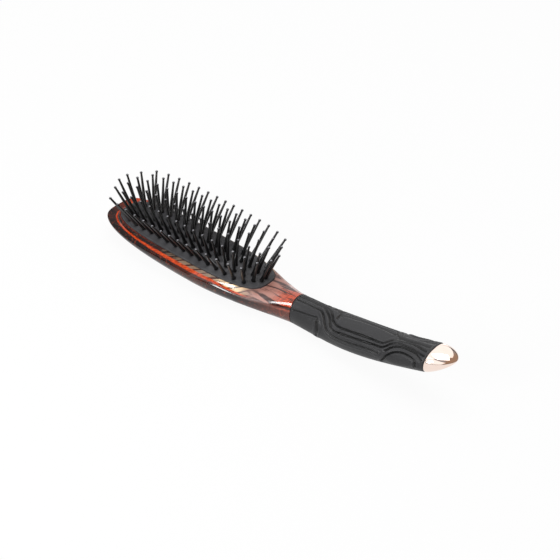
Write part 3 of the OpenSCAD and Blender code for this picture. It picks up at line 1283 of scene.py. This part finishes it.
@dataclass(frozen=True)
class GripRelief:
    """Grooves and raised places of the grip, laid out over its length and its turn.

    The same pattern lies on both sides of a line a little off the top.
    """

    mirror_degrees: float = 14.0
    mirror_from_degrees: float = -16.0
    mirror_blend_degrees: float = 5.0
    mean_radius: float = 8.4
    smooth_steps: int = 6
    shoulder_share: float = 0.42
    shoulder_away: float = 3.0
    shoulder_width: float = 1.4
    groove_from: float = 0.12
    knoll_edge: float = 0.9
    knoll_steepness: float = 14.0
    under_degrees: float = 140.0
    lines: tuple[Line, ...] = (
        Line(((0.023, 66), (0.075, 60), (0.136, 54), (0.192, 48), (0.21, 55), (0.225, 71), (0.23, 88),
              (0.213, 121)), 0.34, 0.34),
        Line(((0.208, 63), (0.224, 90), (0.208, 123)), 0.55, 0.5),
        Line(((0.239, 65), (0.245, 85), (0.231, 115)), -0.25, 0.5),
        Line(((0.016, 0), (0.086, -3), (0.164, -3), (0.2, -2), (0.242, 11), (0.274, 24), (0.297, 39),
              (0.334, 62), (0.42, 61), (0.515, 60), (0.617, 59))),
        Line(((0.02, -20), (0.12, -21), (0.24, -19), (0.3, -12), (0.34, 2)), 0.4, 0.36),
        Line(((0.02, -10), (0.11, -11), (0.196, -10), (0.255, 0), (0.286, 15), (0.318, 33), (0.36, 42),
              (0.446, 42), (0.599, 41))),
        Line(((0.02, 17), (0.12, 14), (0.199, 16), (0.241, 34), (0.276, 58), (0.322, 80), (0.44, 84),
              (0.6, 80), (0.68, 84))),
        Line(((0.382, 44), (0.547, 40), (0.68, 41), (0.718, 28), (0.746, 16), (0.789, 12), (0.875, 11),
              (0.975, 27))),
        Line(((0.399, 63), (0.606, 57), (0.689, 57), (0.72, 47), (0.75, 31), (0.795, 24), (0.881, 29),
              (0.979, 47))),
        Line(((0.727, 64), (0.768, 42), (0.825, 34), (0.917, 43), (0.976, 67))),
        Line(((0.712, 109), (0.744, 82), (0.789, 60), (0.839, 54), (0.892, 60), (0.937, 75), (0.946, 97))),
        Line(((0.697, -28), (0.749, -2), (0.793, 2), (0.885, 2), (0.975, 7))),
        Line(((0.324, 16), (0.33, -2), (0.424, -8), (0.521, -11), (0.625, -10), (0.72, -4)), 0.4, 0.4))
    knolls: tuple[Knoll, ...] = (
        Knoll(0.52, 15, 0.21, 25, 0.16),
        Knoll(0.83, 88, 0.1, 30, 0.3),
        Knoll(0.12, 95, 0.1, 34, 0.2))

    def on_skin(self, points: tuple[Span, ...], length: float) -> np.ndarray:
        """Lays a line's points out in millimetres and rounds its bends.

        Args:
            points: length shares and degrees.
            length: the grip's length.

        Returns:
            Points along and round the grip.
        """
        flat = np.array([
            (share * length, math.radians(degrees) * self.mean_radius) for share, degrees in points])
        padded = np.vstack([2 * flat[0] - flat[1], flat, 2 * flat[-1] - flat[-2]])
        rounded = []
        for before, first, last, after in zip(padded, padded[1:], padded[2:], padded[3:]):
            for step in range(self.smooth_steps):
                part = step / self.smooth_steps
                rounded.append(0.5 * (
                    2 * first + (last - before) * part
                    + (2 * before - 5 * first + 4 * last - after) * part**2
                    + (3 * first - before - 3 * last + after) * part**3))
        return np.array(rounded + [flat[-1]])

    def one_side(self, share: np.ndarray, degrees: np.ndarray, length: float) -> np.ndarray:
        """Gives the depth of the pattern, measured at points given by length share and degrees.

        Args:
            share: length share of each point.
            degrees: degrees of each point from the top.
            length: the grip's length.

        Returns:
            Depth of each point, below 0 where it stands proud.
        """
        spots = np.stack([share * length, np.radians(degrees) * self.mean_radius], axis=-1)
        cut = np.zeros(len(spots))
        lift = np.zeros(len(spots))
        for line in self.lines:
            path = self.on_skin(line.points, length)
            near = np.full(len(spots), np.inf)
            for first, last in zip(path, path[1:]):
                way = last - first
                part = np.clip((spots - first) @ way / (way @ way + TINY), 0, 1)
                near = np.minimum(near, np.linalg.norm(spots - first - part[:, None] * way, axis=1))
            mark = np.exp(-((near / line.width) ** 2))
            past = near - self.shoulder_away * line.width
            shoulder = np.exp(-((past / (self.shoulder_width * line.width)) ** 2))
            if line.depth > 0:
                cut = np.maximum(cut, line.depth * mark)
                lift = np.maximum(lift, self.shoulder_share * line.depth * shoulder)
            else:
                lift = np.maximum(lift, -line.depth * mark)
        for knoll in self.knolls:
            along = (share - knoll.share) / knoll.reach_share
            across = (degrees - knoll.degrees) / knoll.reach_degrees
            past = np.hypot(along, across) - self.knoll_edge
            lift = lift + knoll.height / (1 + np.exp(past * self.knoll_steepness))
        return cut - lift * (cut < self.groove_from)

    def depth(self, share: np.ndarray, degrees: np.ndarray, length: float) -> np.ndarray:
        """Gives the depth of the relief all round the grip.

        Args:
            share: length share of each point.
            degrees: degrees of each point from the top towards -Y, from -180 to 180.
            length: the grip's length.

        Returns:
            Depth of each point in millimetres, below 0 where it stands proud.
        """
        mirrored = 2 * self.mirror_degrees - degrees
        mirrored = np.where(mirrored > 180, mirrored - 360, mirrored)
        near = self.one_side(share, degrees, length)
        far = self.one_side(share, mirrored, length)
        weight = 1 / (1 + np.exp((degrees - self.mirror_from_degrees) / self.mirror_blend_degrees))
        weight = np.where(degrees > self.under_degrees, 1 - weight, weight)
        return near * (1 - weight) + far * weight


@dataclass
class Grip:
    """The rubber grip drawn over the tang."""

    form: BrushForm
    finish: MouldedGripRubber
    relief: GripRelief = field(default_factory=GripRelief)
    length_steps: int = 330
    turn_steps: int = 240
    bore_steps: int = 6
    sleeve_fit: float = 0.05
    edge_round: float = 0.3
    edge_share: float = 0.012
    # depth in millimetres at which the painted groove shade is full
    groove_shade_depth: float = 0.3

    def stations(self) -> list[tuple[float, float]]:
        """Returns length share and depth of each ring, out along the skin and back through the bore.

        Returns:
            The rings.
        """
        inside = self.form.grip_wall - self.sleeve_fit
        found = []
        for step in range(self.length_steps + 1):
            share = step / self.length_steps
            to_end = min(share, 1 - share) / self.edge_share
            found.append((share, self.edge_round * (1 - fall(1 - min(to_end, 1), 2))))
        back = [(1 - step / self.bore_steps, inside) for step in range(self.bore_steps + 1)]
        return found + back + found[:1]

    def build(self) -> bpy.types.Object:
        """Returns the finished grip.

        Returns:
            The piece.
        """
        form = self.form
        stations = self.stations()
        rows = np.repeat([share for share, _ in stations[: self.length_steps + 1]], self.turn_steps + 1)
        turns = np.tile(np.arange(self.turn_steps + 1) / self.turn_steps, self.length_steps + 1)
        degrees = np.where(turns > 0.5, 360 - 360 * turns, -360 * turns)
        relief = self.relief.depth(rows, degrees, form.grip_length).reshape(-1, self.turn_steps + 1)
        relief[:, -1] = relief[:, 0]

        def point(step: int, turn: int) -> Vector:
            """Gives the place of a vertex of the grip.

            Args:
                step: number of the ring, out along the skin and back through the bore.
                turn: number of the step round, from the top.

            Returns:
                The place in metres.
            """
            share, depth = stations[step]
            if step <= self.length_steps:
                to_end = clamp(min(share, 1 - share) / self.edge_share)
                depth += relief[step, turn] * to_end
            angle = round_turn(turn, self.turn_steps)
            return form.place(*form.handle_point(share, angle, depth))

        mesh = loft(len(stations) - 1, self.turn_steps, point)
        close_skin(mesh)
        layer = mesh.verts.layers.float.new(GROOVE_SHADE)
        self.mark_groove_shade(mesh, layer)
        piece = new_piece("grip", mesh, self.finish.material())
        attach(piece, Body.HANDLE.value)
        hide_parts("grip_sleeve")
        return piece

    def mark_groove_shade(self, mesh: bmesh.types.BMesh, layer: bmesh.types.BMLayerItem) -> None:
        """Stores how deep each point lies in a groove, for the finish's painted shade there.

        Args:
            mesh: the finished mesh.
            layer: takes the amounts.
        """
        form = self.form
        share = np.array([vertex.co.x / METRES_PER_MM + form.frame_shift for vertex in mesh.verts])
        share = (share - form.neck_reach) / form.grip_length
        degrees = np.zeros(len(share))
        for index, vertex in enumerate(mesh.verts):
            x, y, z = vertex.co / METRES_PER_MM
            along = clamp(share[index])
            wide = form.swell(form.neck_width, form.grip_width, form.cap_width, along) / 2
            high = form.swell(form.neck_height, form.grip_height, form.cap_height, along) / 2
            up = z - form.head_depth - form.handle_mid(x + form.frame_shift)
            power = form.section_power / 2
            degrees[index] = math.degrees(math.atan2(
                signed_power(-y / wide, power), signed_power(up / high, power)))
        depth = self.relief.depth(share, degrees, form.grip_length)
        for vertex, sunk in zip(mesh.verts, depth):
            vertex[layer] = clamp(float(sunk) / self.groove_shade_depth)


@dataclass
class EndCap:
    """The plated cap that closes the handle."""

    form: BrushForm
    finish: PlatedRoseGold
    length_steps: int = 44
    turn_steps: int = 96
    edge_round: float = 0.25
    edge_share: float = 0.03
    wide_power: float = 1.8
    high_power: float = 1.3
    high_end_power: float = 1.5

    def build(self) -> bpy.types.Object:
        """Returns the finished cap.

        Returns:
            The piece.
        """
        form = self.form

        def point(step: int, turn: int) -> Vector:
            """Gives the place of a vertex of the cap.

            Args:
                step: number of the ring, 0 for the middle of the flat end.
                turn: number of the step round, from the top.

            Returns:
                The place in metres.
            """
            share = 1 - (1 - max(step - 1, 0) / self.length_steps) ** 2
            x = mix(form.grip_end + form.cap_fit, form.cap_end, share)
            if step == 0:
                return form.place(x, 0, form.handle_mid(x))
            drawn = self.edge_round * (1 - fall(1 - min(share / self.edge_share, 1), 2))
            wide = form.cap_width / 2 * fall(share, self.wide_power) - drawn
            low_share = max(1 - share**self.high_power, 0) ** (1 / self.high_end_power)
            high = form.cap_height / 2 * low_share - drawn
            up, side = oval(round_turn(turn, self.turn_steps), form.section_power)
            return form.place(x, wide * side, form.handle_mid(x) + high * up)

        mesh = loft(self.length_steps + 1, self.turn_steps, point)
        close_skin(mesh)
        piece = new_piece("cap", mesh, self.finish.material())
        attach(piece, Body.HANDLE.value)
        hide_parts("end_cap")
        return piece


@dataclass
class Cushion:
    """The domed rubber pad that carries the pins."""

    form: BrushForm
    pins: PinField
    finish: CushionRubber
    ring_steps: int = 60
    ring_power: float = 0.8
    under_steps: int = 6
    turn_steps: int = 256
    spread: float = 0.08
    edge_profile: tuple[Span, ...] = ((-0.25, 0.0), (-0.08, -0.05), (0.0, -0.2))
    dimple_depth: float = 0.22
    dimple_width: float = 1.5
    press_travel: float = 2.0

    def rings(self) -> list[Point]:
        """Returns share of the outline, offset from it and height over the dome of each ring, top side first.

        Returns:
            The rings.
        """
        form = self.form
        shares = [(step / self.ring_steps) ** self.ring_power for step in range(self.ring_steps)]
        top = [(share, self.spread, 0.0) for share in shares]
        edge = [(1.0, self.spread + out, lift) for out, lift in self.edge_profile]
        return top + edge + [(1.0, self.spread, -form.pad_edge_depth)]

    def build(self) -> bpy.types.Object:
        """Returns the finished pad.

        Returns:
            The piece.
        """
        form = self.form
        rings = self.rings()
        roots = self.pins.roots()
        under = [1.0 - step / self.under_steps for step in range(self.under_steps + 1)]

        def point(step: int, turn: int) -> Vector:
            """Gives the place of a vertex of the pad.

            Args:
                step: number of the ring, out over the top and back in under it.
                turn: number of the step round, from the nose.

            Returns:
                The place in metres.
            """
            angle = round_turn(turn, self.turn_steps)
            if step < len(rings):
                share, offset, lift = rings[step]
                x, y = form.outline(angle, offset, form.pad_power)
                x, y = x * share, y * share
                if lift <= -form.pad_edge_depth:
                    return form.place(x, y, lift)
                z = form.pad_top(x, y) + lift
                near = min(math.hypot(x - root_x, y - root_y) for root_x, root_y in roots)
                sink = bell(near, self.dimple_width)
                return form.place(x, y, z - self.dimple_depth * sink)
            share = under[step - len(rings)]
            x, y = form.outline(angle, -form.pad_thick, form.pad_power)
            x, y = x * share, y * share
            low = form.pad_top(x, y) - form.pad_thick if share < 1 else -form.pad_edge_depth
            return form.place(x, y, low)

        mesh = loft(len(rings) + len(under) - 1, self.turn_steps, point)
        close_skin(mesh)
        piece = new_piece("pad", mesh, self.finish.material())
        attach(piece, Body.HANDLE.value)
        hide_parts("cushion_pad")
        tuple(form.place(0, 0, 0))
        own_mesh(piece)
        return piece


@dataclass
class Pins:
    """The ball-tipped pins, which are the CAD model's own solids."""

    finish: MouldedNylon
    prefix: str = "pin_row_"

    def dress(self, nodes: dict[str, bpy.types.Object]) -> None:
        """Gives every row of pins its finish.

        Args:
            nodes: the CAD model's objects by name.
        """
        material = self.finish.material()
        for name, node in sorted(nodes.items()):
            if not name.startswith(self.prefix):
                continue
            for slot in node.material_slots:
                slot.material = material
            LOG.info("%s: dressed", name)


@dataclass(frozen=True)
class SoftBox:
    """A soft box of the studio, aimed at the brush: metres and watts."""

    name: str
    way: Point
    distance: float
    width: float
    height: float
    power: float
    aim: Point = (0.0, 0.0, 0.015)
    lights_matt: bool = True


@dataclass
class Studio:
    """Camera, lamps, floor and surroundings, placed in metres."""

    camera_place: Point = (0.40101, -0.50021, 0.50618)
    camera_right: Point = (0.76227, 0.64599, 0.04052)
    camera_up: Point = (-0.41673, 0.44193, 0.79438)
    camera_back: Point = (0.49525, -0.62242, 0.60607)
    lens: float = 104.951
    sensor: float = 36.0
    floor_size: float = 6.0
    floor_drop: float = 0.0002
    floor_white: str = "#f4f4f4"
    white_share: float = 0.93
    ambient: float = 0.4
    sweep_way: Point = (-1.0, -0.35, 0.0)
    sweep_span: Span = (-0.35, 0.0)
    dim_side: str = "#a48a76"
    sweep_white: str = "#9c9c9e"
    dark_edge: str = "#2c2625"
    edge_span: Span = (0.1, 0.26)
    mottle_mm: float = 333.3
    boxes: tuple[SoftBox, ...] = (
        SoftBox("key_box", (-0.1, 0.1, 0.99), 0.9, 0.7, 0.7, 3.5),
        SoftBox("strip_box", (-0.24, -0.88, 0.43), 0.8, 0.14, 0.4, 3.2),
        SoftBox("cap_card", (-0.75, 0.35, 0.56), 0.09, 0.19, 0.19, 0.1, CAP_MIDDLE, False),
        SoftBox("cap_front_card", (-0.25, -0.86, 0.46), 0.09, 0.19, 0.09, 0.048, CAP_MIDDLE, False))

    def camera(self) -> bpy.types.Object:
        """Returns the camera, set where the photograph was taken from.

        Returns:
            The camera.
        """
        data = bpy.data.cameras.new("camera")
        data.lens = self.lens
        data.sensor_width = self.sensor
        seat = bpy.data.objects.new("camera", data)
        turn = Matrix((self.camera_right, self.camera_up, self.camera_back)).transposed()
        seat.matrix_world = Matrix.Translation(self.camera_place) @ turn.to_4x4()
        bpy.context.scene.collection.objects.link(seat)
        bpy.context.scene.camera = seat
        return seat

    def lamps(self) -> None:
        """Hangs the soft boxes."""
        for box in self.boxes:
            data = bpy.data.lights.new(box.name, "AREA")
            data.shape = "RECTANGLE"
            data.size = box.width
            data.size_y = box.height
            data.energy = box.power
            way = Vector(box.way).normalized()
            lamp = bpy.data.objects.new(box.name, data)
            lamp.location = Vector(box.aim) + way * box.distance
            lamp.rotation_euler = way.to_track_quat("Z", "Y").to_euler()
            lamp.visible_camera = False
            lamp.visible_diffuse = box.lights_matt
            bpy.context.scene.collection.objects.link(lamp)

    def world(self) -> None:
        """Sets the white sweep that the camera and the metal see, with a dim warm side and a dark edge."""
        world = bpy.data.worlds.new("sweep")
        world.use_nodes = True
        tree = world.node_tree
        tree.nodes.clear()
        way = add_node(tree, "ShaderNodeTexCoord").outputs["Generated"]
        up = add_node(tree, "ShaderNodeSeparateXYZ", {"Vector": way}).outputs["Z"]
        left = add_node(tree, "ShaderNodeVectorMath", {0: way, 1: self.sweep_way}, operation="DOT_PRODUCT")
        sides = smooth_ramp(tree, left.outputs["Value"], self.sweep_span)
        shown = blend(tree, sides, self.dim_side, self.sweep_white)
        edged = blend(tree, smooth_ramp(tree, up, self.edge_span), self.dark_edge, shown)
        path = add_node(tree, "ShaderNodeLightPath").outputs
        lit = backdrop(tree, linear_colour(WHITE), self.ambient)
        glossy = blend_shaders(tree, path["Is Glossy Ray"], lit, backdrop(tree, edged, 1.0))
        straight = reckon(tree, "MAXIMUM", path["Is Camera Ray"], path["Is Transmission Ray"])
        sky = blend_shaders(tree, straight, glossy, backdrop(tree, linear_colour(WHITE), 1.0))
        add_node(tree, "ShaderNodeOutputWorld", {"Surface": sky})
        bpy.context.scene.world = world

    def floor(self) -> bpy.types.Object:
        """Returns the white floor, which shows a soft share of the brush's shadow.

        Returns:
            The floor.
        """
        mesh = bmesh.new()
        bmesh.ops.create_grid(mesh, x_segments=1, y_segments=1, size=self.floor_size / 2)
        bmesh.ops.translate(mesh, verts=mesh.verts, vec=(0, 0, -self.floor_drop))
        material, tree, place = new_material("painted_studio_floor")
        tone = blend(tree, noise(tree, place, self.mottle_mm, detail=2.0), self.floor_white, WHITE)
        paint = add_node(tree, "ShaderNodeBsdfDiffuse", {"Color": tone}).outputs["BSDF"]
        white = add_node(tree, "ShaderNodeEmission", {"Strength": 1.0}).outputs["Emission"]
        path = add_node(tree, "ShaderNodeLightPath").outputs
        seen = reckon(tree, "MAXIMUM", path["Is Camera Ray"], path["Is Glossy Ray"])
        passed = reckon(tree, "MAXIMUM", seen, path["Is Transmission Ray"])
        shown = blend_shaders(tree, reckon(tree, "MULTIPLY", passed, self.white_share), paint, white)
        add_node(tree, "ShaderNodeOutputMaterial", {"Surface": shown})
        piece = new_piece("floor", mesh, material)
        return piece

    def build(self) -> None:
        """Sets the whole studio up."""
        self.camera()
        self.lamps()
        self.world()
        self.floor()
        bpy.context.scene.view_settings.view_transform = "Standard"


def main() -> None:
    """Builds the brush's pieces in order and reports each."""
    logging.basicConfig(level=logging.INFO, format="%(name)s: %(message)s")
    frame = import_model()
    form = BrushForm()
    Studio().build()
    Moulding(form, MouldedTortoiseshell()).build()
    Grip(form, MouldedGripRubber()).build()
    EndCap(form, PlatedRoseGold()).build()
    Cushion(form, PinField(form), CushionRubber()).build()
    Pins(MouldedNylon()).dress(frame["nodes"])


if __name__ == "__main__":
    main()
